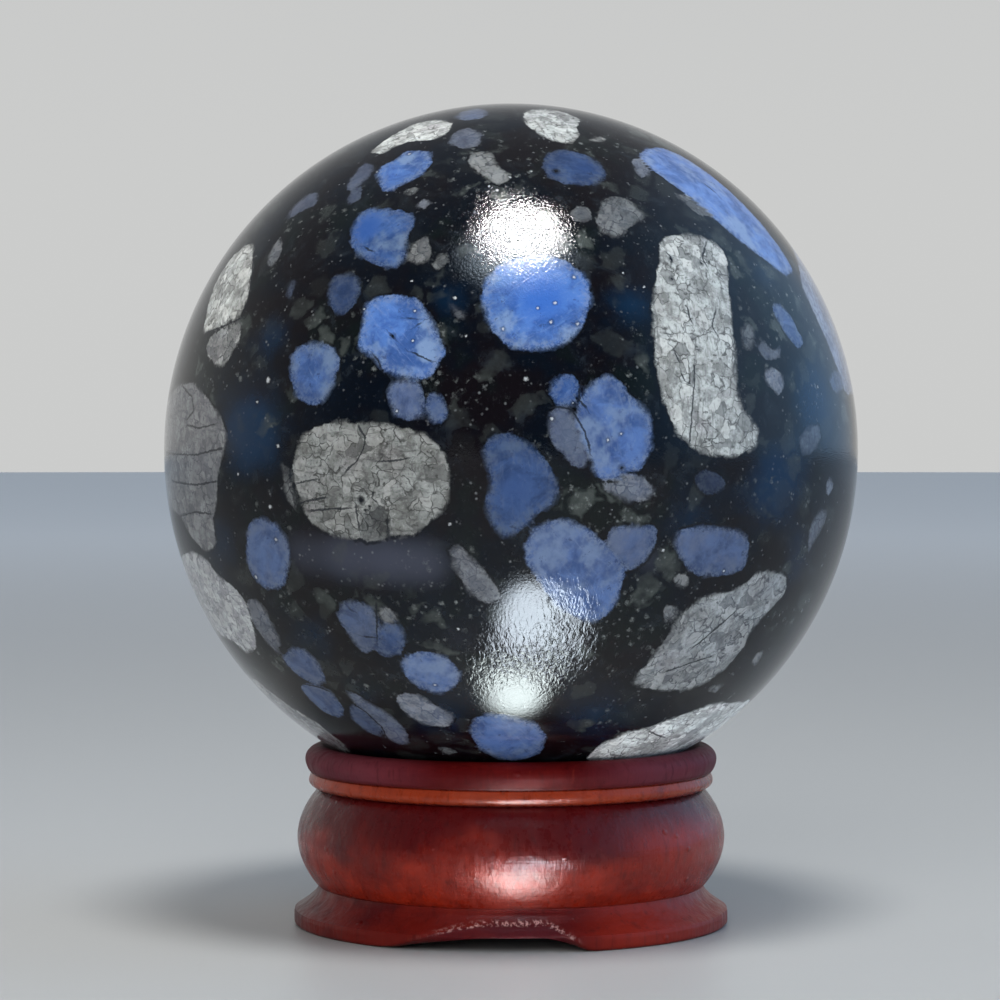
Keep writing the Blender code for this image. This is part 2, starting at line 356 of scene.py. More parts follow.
        (448, 548), (459, 544), (474, 560), (493, 581), (503, 598), (486, 604), (466, 588), (454, 568)]),
    Crystal("pale_right_edge_band", 0.5, 1.0, 0.6, 0.8, [
        (786, 238), (806, 262), (826, 300), (846, 350), (857, 392), (846, 396), (836, 366), (818, 322),
        (800, 284)]),
    Crystal("grey_rock_scrap_high", 0.85, 0.42, 0.1, 0.9, [
        (673, 581), (679, 573), (689, 575), (689, 584), (680, 588)]),
    Crystal("grey_rock_scrap_low", 0.85, 0.46, 0.1, 0.9, [
        (662, 612), (668, 604), (677, 607), (676, 618), (667, 622)]),
    Crystal("grey_rock_scrap_right", 0.85, 0.44, 0.2, 0.9, [
        (751, 662), (757, 653), (764, 650), (756, 667)]),
    Crystal("grey_rock_scrap_foot", 0.85, 0.40, 0.2, 0.9, [
        (706, 691), (714, 685), (723, 685), (716, 693)]),
    Crystal("grey_top_right_scrap", 0.85, 0.36, 0.1, 0.8, [
        (671, 192), (688, 196), (716, 216), (700, 217)]),
    Crystal("lilac_streak_end", 0.55, 0.46, 0.6, 0.9, [(630, 160), (640, 158), (652, 174), (640, 179)]),
    Crystal("grey_middle_scrap", 0.7, 0.26, 0.5, 0.8, [(449, 303), (460, 309), (468, 320), (456, 318)]),
    Crystal("grey_left_bar", 0.9, 0.36, 0.1, 0.9, [
        (281, 462), (286, 465), (292, 488), (297, 510), (288, 502), (284, 484)]),
    Crystal("grey_top_left_scrap", 0.9, 0.36, 0.0, 0.9, [
        (403, 192), (412, 187), (421, 189), (411, 195)]),
    Crystal("lilac_top_left_dot", 0.6, 0.44, 0.7, 0.9, [
        (417, 205), (423, 199), (431, 203), (424, 210)]),
    Crystal("grey_low_bar", 0.8, 0.34, 0.1, 0.9, [(437, 748), (446, 747), (459, 753), (448, 755)]),
]


# Cracks and dark seams: points along each, in the picture
CRACKS = [
    [(295, 484), (306, 481), (318, 479)],
    [(298, 504), (312, 500), (328, 497)],
    [(308, 511), (330, 509), (354, 508)],
    [(356, 503), (357, 518), (360, 532)],
    [(357, 424), (366, 438), (363, 450), (356, 462), (343, 474)],
    [(374, 489), (372, 498), (379, 505)],
    [(378, 461), (394, 461), (410, 458)],
    [(424, 431), (433, 440), (446, 446)],
    [(364, 247), (374, 252)],
    [(664, 250), (672, 258), (671, 265)],
    [(707, 240), (702, 258), (708, 268)],
    [(694, 362), (694, 385), (692, 412), (689, 446)],
    [(687, 304), (689, 316), (693, 325)],
    [(663, 333), (673, 335)],
    [(674, 350), (680, 364)],
    [(680, 370), (687, 386)],
    [(716, 308), (712, 326), (718, 336)],
    [(690, 650), (706, 637), (720, 625), (737, 610)],
    [(664, 672), (690, 663), (714, 655)],
    [(205, 334), (222, 327), (242, 318)],
    [(254, 256), (252, 280), (248, 300), (242, 316)],
    [(182, 385), (192, 397), (194, 411), (186, 421)],
    [(166, 453), (195, 455), (224, 448)],
    [(186, 425), (200, 428), (216, 424)],
    [(172, 481), (196, 485), (218, 481)],
    [(178, 516), (196, 512), (212, 514)],
    [(410, 351), (420, 356), (433, 362)],
    [(389, 332), (396, 340)],
    [(407, 318), (416, 319)],
    [(415, 326), (423, 322)],
    [(373, 354), (379, 362), (382, 371)],
    [(376, 601), (377, 620), (377, 641)],
    [(362, 636), (378, 638)],
    [(347, 606), (354, 612)],
    [(702, 182), (710, 188), (717, 194)],
    [(298, 683), (316, 686), (332, 692)],
    [(581, 383), (578, 398), (588, 410)],
    [(572, 410), (584, 430), (591, 452)],
    [(548, 408), (560, 407), (574, 410)],
    [(352, 703), (366, 712), (382, 727), (388, 740)],
    [(666, 738), (648, 731)],
]

# Pinpoints: where each shows in the picture, and its radius there; less than 0 is a dark pit
FLECKS = [
    (538, 308, 1.4), (555, 303, 1.7), (551, 322, 1.9), (578, 324, 2.0), (574, 277, 1.7),
    (503, 329, 1.7), (415, 311, 1.5), (364, 309, 1.5), (413, 341, 1.4), (435, 685, 1.7),
    (397, 411, 1.4), (526, 379, 2.5), (663, 550, 2.2), (458, 629, 2.0), (455, 298, 2.2),
    (412, 281, 1.5), (268, 380, 3.1), (257, 402, 1.7), (278, 446, 2.2), (238, 474, 1.7),
    (270, 507, 2.5), (818, 387, 1.7), (623, 273, 1.7), (644, 287, 1.4), (466, 336, 1.5),
    (450, 524, 2.0), (276, 540, 1.9), (256, 577, 2.2), (377, 172, 1.5), (409, 154, 2.0),
    (621, 434, 1.5), (608, 440, 1.5), (552, 419, 2.0), (573, 403, 1.5), (724, 571, 1.5),
    (510, 177, 2.0), (489, 186, 1.9), (531, 171, 1.7), (497, 190, 2.0), (505, 206, 1.7),
    (524, 196, 2.0), (590, 463, -3.6), (622, 468, -2.4), (361, 500, -4.6), (434, 437, -3.0),
    (443, 434, -3.2), (556, 171, -3.6), (393, 336, -2.0), (577, 398, -2.0), (701, 263, -2.2),
    (671, 259, -2.6), (699, 350, -2.2), (672, 279, -2.2), (709, 262, -1.8), (697, 347, -1.8),
    (500, 665, -1.8), (398, 596, -1.6), (640, 700, 1.4), (612, 510, 1.2),
]

# Soft patches: where each shows in the picture, its radius there and its strength. They give a clearer,
# deeper blue (below 0 a cloudier one), a rippled polish, crowded grey grains, a navy ground, a painted
# grey reflection of the surroundings and a pitted polish.
SOFT_PATCHES = {
    "glow": [
        (540, 296, 34, 1.00), (366, 228, 20, 1.10), (390, 176, 20, 0.50), (388, 322, 24, 0.45),
        (720, 200, 30, 0.20), (560, 385, 12, 0.35), (516, 490, 26, 0.55), (585, 168, 18, 0.60),
        (500, 740, 22, 0.40), (632, 436, 22, 0.35), (316, 366, 12, 0.30), (394, 640, 12, 0.30),
        (400, 244, 15, -0.9), (424, 352, 20, -0.8), (600, 548, 26, -0.6), (575, 338, 16, -0.8),
        (500, 332, 16, -0.7), (580, 440, 24, -0.9), (410, 158, 10, -0.8), (330, 360, 16, -0.8),
        (740, 228, 18, -0.8), (546, 546, 22, -0.5), (362, 642, 14, -0.6), (446, 668, 14, -0.6),
    ],
    "ripple": [
        (552, 655, 44, 1.40), (575, 600, 34, 1.00), (490, 665, 34, 0.90),
    ],
    "crowd": [
        (485, 172, 48, 0.36), (600, 200, 40, 0.20), (455, 395, 34, 0.18), (285, 305, 34, 0.16),
        (450, 625, 40, 0.16), (620, 320, 30, 0.10), (745, 320, 34, 0.18), (365, 360, 18, 0.16),
        (645, 640, 40, 0.10), (560, 440, 30, 0.05), (460, 490, 40, -0.20), (240, 440, 60, -0.14),
        (240, 380, 20, 0.22), (690, 580, 24, 0.18), (800, 440, 26, 0.18),
    ],
    "navy": [
        (250, 430, 48, 1.00), (272, 330, 34, 0.55), (315, 630, 44, 0.40), (220, 540, 40, 0.60),
        (360, 690, 36, 0.45), (775, 480, 52, 1.00), (815, 400, 44, 0.80), (690, 520, 40, 0.30),
        (628, 300, 34, 0.50), (590, 712, 48, 0.60), (440, 720, 30, 0.45), (760, 270, 24, 0.35),
        (450, 300, 26, 0.35), (800, 560, 40, 0.70), (560, 500, 24, -0.20), (640, 140, 60, -0.60),
        (480, 130, 60, -0.60), (400, 560, 40, -0.30),
    ],
    # Painted reflection: a grey veil over the lower front, where the polish would mirror the room
    "painted_reflection": [
        (300, 553, 34, 0.50), (343, 557, 34, 0.66), (386, 560, 34, 0.66), (429, 563, 34, 0.60),
        (650, 560, 24, 0.45), (460, 640, 34, 0.30), (640, 650, 34, 0.25),
    ],
    "pitted": [
        (520, 236, 62, 1.00), (490, 190, 30, 0.50), (490, 690, 34, 0.35),
    ],
}


def camera_axes():
    """Unit vectors to the camera's right, up and forward."""
    right = np.array((math.cos(CAMERA_TURN), math.sin(CAMERA_TURN), 0.0))
    forward = np.array((
        -math.sin(CAMERA_TURN) * math.cos(CAMERA_PITCH),
        math.cos(CAMERA_TURN) * math.cos(CAMERA_PITCH),
        math.sin(CAMERA_PITCH),
    ))
    return right, np.cross(right, forward), forward


def on_stone(x, y):
    """The direction from the stone's centre to the place that shows at x, y in the picture.

    A point just outside the stone's edge in the picture is a place round behind that edge.
    """
    right, up, forward = camera_axes()
    middle = PICTURE_SIDE / 2
    sight = forward + right * (x - middle) / FOCAL_PIXELS + up * (middle - y) / FOCAL_PIXELS
    sight /= np.linalg.norm(sight)
    to_centre = STONE_CENTRE - CAMERA_PLACE
    distance = np.linalg.norm(to_centre)
    axis = to_centre / distance
    sideways = sight - axis * (sight @ axis)
    off_axis = math.asin(min(1.0, np.linalg.norm(sideways)))
    edge = math.asin(STONE_RADIUS / distance)
    if off_axis < edge:
        turn = math.asin(distance * math.sin(off_axis) / STONE_RADIUS) - off_axis
    else:
        turn = math.pi / 2 - edge + (off_axis / edge - 1) * BEHIND_EDGE_TURN
    return -axis * math.cos(turn) + sideways / max(1e-9, np.linalg.norm(sideways)) * math.sin(turn)


def flat_axes(middle):
    """Two unit vectors along the stone's surface at a place, sideways and upwards."""
    side = np.cross((0.0, 0.0, 1.0), middle)
    side /= np.linalg.norm(side)
    return side, np.cross(middle, side)


def laid_flat(directions, middle):
    """Where directions lie around a place on the stone, in millimetres along its surface."""
    side, rise = flat_axes(middle)
    stretch = 2 * RADIUS_MM / (1 + directions @ middle)
    return np.stack((directions @ side * stretch, directions @ rise * stretch), axis=-1)


def rounded(outline, rounds=2):
    """The outline with its corners cut, twice over, as a worn crystal's are."""
    for _ in range(rounds):
        following = np.roll(outline, -1, axis=0)
        keep = 1 - CORNER_CUT
        both = (outline * keep + following * CORNER_CUT, outline * CORNER_CUT + following * keep)
        cut = np.stack(both, axis=1)
        outline = cut.reshape(-1, outline.shape[1])
    return outline


def depth_inside(points, outline):
    """How far each point is inside a closed outline, less than 0 outside it."""
    nearest = np.full(len(points), np.inf)
    inside = np.zeros(len(points), dtype=bool)
    for start, end in zip(outline, np.roll(outline, -1, axis=0)):
        along = end - start
        share = np.clip((points - start) @ along / max(1e-12, along @ along), 0, 1)
        nearest = np.minimum(nearest, np.linalg.norm(points - start - share[:, None] * along, axis=1))
        crosses = (start[1] > points[:, 1]) != (end[1] > points[:, 1])
        rise = end[1] - start[1] if abs(end[1] - start[1]) > 1e-12 else 1e-12
        reach = start[0] + (points[:, 1] - start[1]) / rise * along[0]
        inside ^= crosses & (points[:, 0] < reach)
    return np.where(inside, nearest, -nearest)


def deselect_all():
    bpy.ops.object.select_all(action="DESELECT")


def vertex_places(piece):
    places = np.zeros(len(piece.data.vertices) * 3)
    piece.data.vertices.foreach_get("co", places)
    return places.reshape(-1, 3)


def add_stone():
    """The ball: a cube cut into even squares and cast to a sphere."""
    deselect_all()
    bpy.ops.mesh.primitive_cube_add(size=2)
    stone = bpy.context.object
    stone.name = "polished_stone_ball"
    stone.data.name = stone.name
    bpy.ops.object.mode_set(mode="EDIT")
    bpy.ops.mesh.select_all(action="SELECT")
    bpy.ops.mesh.subdivide(number_cuts=FIRST_CUTS)
    bpy.ops.mesh.subdivide(number_cuts=SECOND_CUTS)
    bpy.ops.object.mode_set(mode="OBJECT")
    even = np.tan(vertex_places(stone) * math.pi / 4)
    directions = even / np.linalg.norm(even, axis=1)[:, None]
    stone.data.vertices.foreach_set("co", (directions * STONE_RADIUS + STONE_CENTRE).ravel())
    stone.data.update()
    bpy.ops.object.shade_smooth()
    return stone, directions


class StoneFields:
    """What the stone's finish reads at each vertex: which crystal is nearest and how it looks."""

    def __init__(self, directions):
        count = len(directions)
        self.directions = directions
        self.depth = np.full(count, -FIELD_REACH)
        self.grey = np.zeros(count)
        self.light = np.full(count, 0.5)
        self.lilac = np.zeros(count)
        self.cover = np.ones(count)
        self.grain = np.zeros((count, 3))
        self.glow = np.zeros(count)
        self.ripple = np.zeros(count)
        self.crowd = np.zeros(count)
        self.navy = np.zeros(count)
        self.painted_reflection = np.zeros(count)
        self.pitted = np.zeros(count)
        self.crack_side = np.full((CRACK_SETS, count), CRACK_REACH)
        self.crack_near = np.zeros((CRACK_SETS, count))
        self.fleck = np.zeros((count, 3))
        self.fleck_near = np.zeros(count)

    def near(self, middle, reach_mm):
        """The vertices within a distance of a place, and where they lie around it."""
        found = np.nonzero(self.directions @ middle > math.cos(reach_mm / RADIUS_MM))[0]
        return found, laid_flat(self.directions[found], middle)

    def lay_crystal(self, crystal, outline, number):
        """Takes a crystal, whose outline is a list of directions, into the fields."""
        middle = outline.mean(axis=0)
        middle /= np.linalg.norm(middle)
        spread = np.arccos(np.clip(outline @ middle, -1, 1)).max() * RADIUS_MM
        near, points = self.near(middle, spread + FIELD_REACH)
        flat_outline = laid_flat(outline, middle)
        depth = depth_inside(points, rounded(flat_outline))
        better = depth > self.depth[near]
        chosen = near[better]
        long_way = np.linalg.svd(flat_outline - flat_outline.mean(axis=0))[2][0]
        across = np.array((-long_way[1], long_way[0]))
        self.depth[chosen] = depth[better]
        self.grey[chosen] = crystal.grey
        self.light[chosen] = crystal.light
        self.lilac[chosen] = crystal.lilac
        self.cover[chosen] = crystal.cover
        self.grain[chosen, 0] = points[better] @ long_way
        self.grain[chosen, 1] = points[better] @ across
        self.grain[chosen, 2] = number * GRAIN_STEP

    def lay_crack(self, line, number):
        """Takes a crack into the fields: which side of it a place is on, and how near it is."""
        middle = line.mean(axis=0)
        middle /= np.linalg.norm(middle)
        spread = np.arccos(np.clip(line @ middle, -1, 1)).max() * RADIUS_MM
        near, points = self.near(middle, spread + CRACK_REACH)
        flat_line = laid_flat(line, middle)
        side = np.full(len(near), CRACK_REACH)
        for start, end in zip(flat_line, flat_line[1:]):
            along = end - start
            share = (points - start) @ along / (along @ along)
            away = points - start - np.clip(share, 0, 1)[:, None] * along
            distance = np.linalg.norm(away, axis=1)
            left = np.where(along[0] * away[:, 1] - along[1] * away[:, 0] > 0, 1.0, -1.0)
            closer = distance < np.abs(side)
            side[closer] = (distance * left)[closer]
        ends = [np.linalg.norm(points - flat_line[k], axis=1) for k in (0, -1)]
        taper = np.clip(np.minimum(*ends) / CRACK_REACH + 0.15, 0, 1)
        nearness = np.clip(1 - np.abs(side) / CRACK_REACH, 0, 1) * taper
        layer = number % CRACK_SETS
        better = nearness > self.crack_near[layer, near]
        self.crack_side[layer, near[better]] = side[better]
        self.crack_near[layer, near[better]] = nearness[better]

    def lay_fleck(self, place, size):
        """A pinpoint, white where its size is above 0 and a dark pit where it is below."""
        near, points = self.near(place, FLECK_REACH)
        nearness = 1 - np.linalg.norm(points, axis=1) / FLECK_REACH
        better = nearness > self.fleck_near[near]
        self.fleck[near[better], :2] = points[better]
        self.fleck[near[better], 2] = size
        self.fleck_near[near[better]] = nearness[better]

    def soften(self, field, place, radius_mm, strength):
        """Adds a soft patch to one of the fields."""
        near, points = self.near(place, radius_mm * PATCH_REACH)
        fall = np.exp(-((np.linalg.norm(points, axis=1) / radius_mm) ** 2) * PATCH_FALL)
        getattr(self, field)[near] += strength * fall


def write_field(piece, name, values):
    kind, value_name = ("FLOAT_VECTOR", "vector") if values.ndim == 2 else ("FLOAT", "value")
    attribute = piece.data.attributes.new(name, kind, "POINT")
    attribute.data.foreach_set(value_name, values.astype(np.float32).ravel())


def dress_stone(stone, directions):
    fields = StoneFields(directions)
    for number, crystal in enumerate(CRYSTALS):
        outline = np.array([on_stone(x, y) for x, y in crystal.outline])
        fields.lay_crystal(crystal, outline, number)
    for number, (crystal, outline) in enumerate(hidden_crystals()):
        fields.lay_crystal(crystal, outline, number + len(CRYSTALS))
    for number, line in enumerate(CRACKS):
        fields.lay_crack(np.array([on_stone(x, y) for x, y in line]), number)
    for x, y, size in FLECKS:
        fields.lay_fleck(on_stone(x, y), size * PIXEL_MM)
    for field, patches in SOFT_PATCHES.items():
        for x, y, radius, strength in patches:
            fields.soften(field, on_stone(x, y), radius * PIXEL_MM, strength)
    for name in ("depth", "grey", "light", "lilac", "cover", "grain", "glow", "ripple", "crowd", "navy",
                 "painted_reflection", "pitted", "fleck", "fleck_near"):
        write_field(stone, "stone_" + name, getattr(fields, name))
    for layer in range(CRACK_SETS):
        write_field(stone, "crack_side_%d" % layer, fields.crack_side[layer])
        write_field(stone, "crack_near_%d" % layer, fields.crack_near[layer])


def hidden_crystals():
    """Crystals for the rest of the stone, which the picture doesn't show, in the same mix of kinds."""
    chance = np.random.default_rng(HIDDEN_SEED)
    to_camera = (CAMERA_PLACE - STONE_CENTRE) / np.linalg.norm(CAMERA_PLACE - STONE_CENTRE)
    taken = []
    for crystal in CRYSTALS:
        outline = np.array([on_stone(x, y) for x, y in crystal.outline])
        middle = outline.mean(axis=0) / np.linalg.norm(outline.mean(axis=0))
        taken.append((middle, np.arccos(np.clip(outline @ middle, -1, 1)).max()))
    found = []
    for size_mm, tries in HIDDEN_SIZES:
        for _ in range(tries):
            middle = chance.normal(size=3)
            middle /= np.linalg.norm(middle)
            size = size_mm * chance.uniform(0.8, 1.2) / RADIUS_MM
            kind = chance.uniform()
            shape = chance.uniform(size=16)
            if middle @ to_camera > SHOWN_CAP - size:
                continue
            gaps = (math.acos(min(1.0, middle @ other)) / (size + reach) for other, reach in taken)
            if any(gap < HIDDEN_SPACING for gap in gaps):
                continue
            taken.append((middle, size))
            found.append(hidden_crystal(middle, size * RADIUS_MM, kind, shape, len(found)))
    return found


def hidden_crystal(middle, radius_mm, kind, shape, number):
    """One crystal of the hidden side: a blocky pale one, or a rounder blue or lilac one."""
    pale = kind < PALE_SHARE
    side, rise = flat_axes(middle)
    turn = shape[0] * math.pi
    thin = 0.42 + 0.35 * shape[1] if pale else 0.62 + 0.33 * shape[1]
    corners = 6 + int(shape[2] * 3)
    outline = []
    for k in range(corners):
        angle = 2 * math.pi * (k + 0.5 * shape[3 + k]) / corners
        boxy = 1 / max(abs(math.cos(angle)), abs(math.sin(angle))) if pale else 1.0
        reach = radius_mm * min(1.2, boxy) * (0.82 + 0.18 * shape[3 + k])
        along, across = math.cos(angle) * reach, math.sin(angle) * reach * thin
        x = along * math.cos(turn) - across * math.sin(turn)
        y = along * math.sin(turn) + across * math.cos(turn)
        direction = middle + (side * x + rise * y) / RADIUS_MM
        outline.append(direction / np.linalg.norm(direction))
    light = 0.50 + 0.40 * shape[12]
    grey = 0.85 + 0.15 * shape[13] if pale else 0.3 * shape[13] ** 2
    lilac = 0.2 * shape[14] if pale else 0.7 * shape[14] ** 2
    return Crystal("hidden_%d" % number, grey, light, lilac, 1.0, None), np.array(outline)


class Finish:
    """A material put together node by node. Each method gives the output of the node it adds."""

    def __init__(self, name):
        self.material = bpy.data.materials.new(name)
        self.material.use_nodes = True
        self.tree = self.material.node_tree
        self.shader = self.tree.nodes["Principled BSDF"]

    def node(self, kind, inputs, **settings):
        made = self.tree.nodes.new(kind)
        for name, value in settings.items():
            setattr(made, name, value)
        for name, value in inputs.items():
            self.put(value, made.inputs[name])
        return made

    def put(self, value, socket):
        if isinstance(value, bpy.types.NodeSocket):
            self.tree.links.new(value, socket)
        else:
            socket.default_value = value

    def field(self, name, output="Fac"):
        return self.node("ShaderNodeAttribute", {}, attribute_name=name).outputs[output]

    def millimetres(self):
        """The place on the piece, in millimetres."""
        place = self.node("ShaderNodeTexCoord", {}).outputs["Object"]
        return self.stretched(place, (1000.0, 1000.0, 1000.0))

    def stretched(self, place, scale, rotation=(0.0, 0.0, 0.0)):
        inputs = {"Vector": place, "Scale": scale, "Rotation": rotation}
        return self.node("ShaderNodeMapping", inputs).outputs["Vector"]

    def maths(self, operation, *values):
        return self.node("ShaderNodeMath", dict(enumerate(values)), operation=operation).outputs[0]

    def times(self, value, by):
        return self.maths("MULTIPLY", value, by)

    def plus(self, value, more):
        return self.maths("ADD", value, more)

    def line(self, value, by, more):
        """The value times one number, plus another."""
        return self.maths("MULTIPLY_ADD", value, by, more)

    def noise(self, place, scale, detail=2.0, roughness=0.5, distortion=0.0):
        inputs = {"Vector": place, "Scale": scale, "Detail": detail, "Roughness": roughness}
        inputs["Distortion"] = distortion
        return self.node("ShaderNodeTexNoise", inputs).outputs["Fac"]

    def noise_vector(self, place, scale):
        """A noise that differs along each axis, to push places about with."""
        inputs = {"Vector": place, "Scale": scale, "Detail": 2.0}
        return self.node("ShaderNodeTexNoise", inputs).outputs["Color"]

    def cells(self, place, scale, feature="F1", output="Distance"):
        """Cells like those of a cracked glaze, and how far each place is from the middle of its own."""
        inputs = {"Vector": place, "Scale": scale}
        return self.node("ShaderNodeTexVoronoi", inputs, feature=feature).outputs[output]

    def ease(self, value, low, high, start=0.0, end=1.0):
        """From start to end as the value goes from low to high, with soft ends."""
        inputs = {"Value": value, "From Min": low, "From Max": high, "To Min": start, "To Max": end}
        return self.node("ShaderNodeMapRange", inputs, interpolation_type="SMOOTHSTEP").outputs["Result"]

    def mix(self, share, low, high, blend_type="MIX"):
        """From one colour to another by a share."""
        low = low if isinstance(low, bpy.types.NodeSocket) else (*low, 1.0)
        high = high if isinstance(high, bpy.types.NodeSocket) else (*high, 1.0)
        inputs = {0: share, 6: low, 7: high}
        made = self.node("ShaderNodeMix", {}, data_type="RGBA", blend_type=blend_type)
        for index, value in inputs.items():
            self.put(value, made.inputs[index])
        return made.outputs[2]

    def tint(self, base, colour, value, low, high, share=1.0):
        """The base, which takes on a share of the colour as the value goes from low to high."""
        return self.mix(self.ease(value, low, high, 0.0, share), base, colour)

    def grey(self, value):
        """A value as a colour."""
        inputs = {"Red": value, "Green": value, "Blue": value}
        return self.node("ShaderNodeCombineColor", inputs).outputs[0]

    def bump(self, height, distance, normal=None):
        """A relief of this height, laid over another where one is given."""
        inputs = {"Height": height, "Distance": distance, "Strength": 1.0}
        if normal is not None:
            inputs["Normal"] = normal
        return self.node("ShaderNodeBump", inputs).outputs["Normal"]


def polished_stone():
    """Blue-black stone with blue and pale crystals, ground and polished all over."""
    f = Finish("polished_stone_finish")
    place = f.millimetres()
    turned = f.stretched(place, (1.0, 1.0, 1.0), (0.5, 0.3, 0.9))
    grain = f.field("stone_grain", "Vector")
    light = f.field("stone_light")
    lilac = f.field("stone_lilac")
    glow = f.field("stone_glow")

    # Noises from broad to fine, which several of the features below share
    broad = f.noise(place, 0.095, 4.0, 0.60)
    drift = f.noise(turned, 0.17, 3.0, 0.60)
    medium = f.noise(place, 0.42, 4.0, 0.64, 0.5)
    veil = f.noise(turned, 0.50, 3.0, 0.62)
    worn = f.noise(place, 0.95, 3.0, 0.62)
    mottle = f.noise(place, 1.8, 4.0, 0.72)
    sugar = f.noise(turned, 2.6, 4.0, 0.77)
    frayed = f.noise(place, 4.2, 2.0, 0.70)

    # The crystals' worn edges, crisp in places and fading into the ground in others
    ragged = f.line(worn, 0.64, -0.32)
    depth = f.plus(f.field("stone_depth"), f.line(frayed, 0.26, -0.13))
    depth = f.plus(depth, ragged)
    softness = f.ease(veil, 0.40, 0.62, 0.10, 0.46)
    inside = f.ease(depth, f.times(softness, -0.8), softness)
    shown = f.times(inside, f.field("stone_cover"))

    # The dark ground, navy here and brown or green there, clouded and full of small grey grains
    ground = f.mix(f.ease(broad, 0.42, 0.58), (0.0014, 0.0030, 0.0062), (0.0036, 0.0026, 0.0036))
    ground = f.tint(ground, (0.0030, 0.0058, 0.0056), drift, 0.50, 0.66, 0.75)
    navy = f.plus(f.field("stone_navy"), f.line(broad, -1.4, 0.7))
    ground = f.tint(ground, (0.0030, 0.0190, 0.0500), navy, 0.10, 0.95)
    # Painted reflection: a grey-blue veil laid into the ground's colour, where the polish would mirror
    # the room
    painted_reflection = f.ease(f.field("stone_painted_reflection"), 0.15, 0.9, 0.0, 0.8)
    ground = f.mix(painted_reflection, ground, (0.052, 0.058, 0.084))
    ground = f.tint(ground, (0.024, 0.032, 0.040), medium, 0.52, 0.78, 0.45)
    crowd = f.ease(f.plus(drift, f.field("stone_crowd")), 0.46, 0.72)
    crumpled = f.node("ShaderNodeVectorMath", {0: place}, operation="ADD")
    f.put(f.stretched(f.noise_vector(place, 0.8), (1.6, 1.6, 1.6)), crumpled.inputs[1])
    crumpled = crumpled.outputs[0]
    scrap_tone = f.node("ShaderNodeSeparateColor", {"Color": f.cells(crumpled, 0.40, output="Color")})
    scrap_edge = f.ease(f.cells(crumpled, 0.40, "DISTANCE_TO_EDGE"), 0.03, 0.22)
    scraps = f.times(f.ease(scrap_tone.outputs[0], 0.55, 0.95), scrap_edge)
    scraps = f.times(scraps, f.ease(crowd, 0.0, 1.0, 0.30, 1.0))
    ground = f.mix(scraps, ground, f.mix(sugar, (0.024, 0.030, 0.028), (0.075, 0.086, 0.080)))
    ground = f.tint(ground, (0.070, 0.076, 0.080), sugar, 0.56, 0.80, 0.20)
    lumps = f.ease(f.plus(f.cells(place, 0.95), sugar), 0.82, 0.58)
    lumps = f.times(f.times(lumps, crowd), f.ease(mottle, 0.38, 0.64))
    ground = f.mix(f.times(lumps, 0.85), ground, (0.180, 0.195, 0.190))
    grains = f.cells(turned, 1.9)
    grains = f.times(f.ease(grains, 0.34, 0.08), f.ease(worn, 0.52, 0.68))
    ground = f.mix(f.times(grains, 0.60), ground, (0.170, 0.180, 0.185))

    # Blue crystals: a deep clear core, cloudy lights, streaks along the grain, a frosted rim
    lobes = f.plus(medium, f.times(glow, 0.20))
    cloudy = f.maths("SUBTRACT", veil, f.times(glow, 0.26))
    streaks = f.noise(f.stretched(grain, (0.50, 2.0, 1.0)), 1.0, 3.0, 0.65, 0.5)
    blue = f.mix(f.ease(lobes, 0.36, 0.68), (0.036, 0.090, 0.27), (0.084, 0.190, 0.50))
    blue = f.tint(blue, (0.195, 0.295, 0.48), cloudy, 0.46, 0.72, 0.85)
    blue = f.tint(blue, (0.230, 0.325, 0.55), streaks, 0.50, 0.78, 0.45)
    blue = f.tint(blue, (0.024, 0.055, 0.18), mottle, 0.46, 0.26, 0.50)
    blue = f.tint(blue, (0.290, 0.385, 0.57), mottle, 0.56, 0.78, 0.36)
    blue = f.tint(blue, (0.034, 0.125, 0.46), glow, 0.10, 1.0, 0.80)
    steel = f.mix(f.ease(medium, 0.36, 0.64), (0.074, 0.108, 0.205), (0.158, 0.208, 0.34))
    steel = f.tint(steel, (0.150, 0.172, 0.27), cloudy, 0.42, 0.66, 0.8)
    steel = f.tint(steel, (0.28, 0.34, 0.44), sugar, 0.56, 0.78, 0.3)
    blue = f.mix(lilac, blue, steel)
    frost = f.ease(sugar, 0.40, 0.62)
    rim = f.times(f.ease(depth, 1.30, 0.10), frost)
    blue = f.mix(f.times(rim, 0.60), blue, (0.190, 0.235, 0.32))
    dark_edge = f.times(f.ease(depth, 0.60, 0.05), f.ease(frost, 0.6, 0.1))
    blue = f.mix(f.times(dark_edge, 0.60), blue, (0.018, 0.034, 0.080))
    blots = f.ease(f.plus(f.cells(turned, 0.60), frayed), 0.62, 0.50, 0.0, 0.55)
    blue = f.mix(blots, blue, (0.030, 0.050, 0.120))

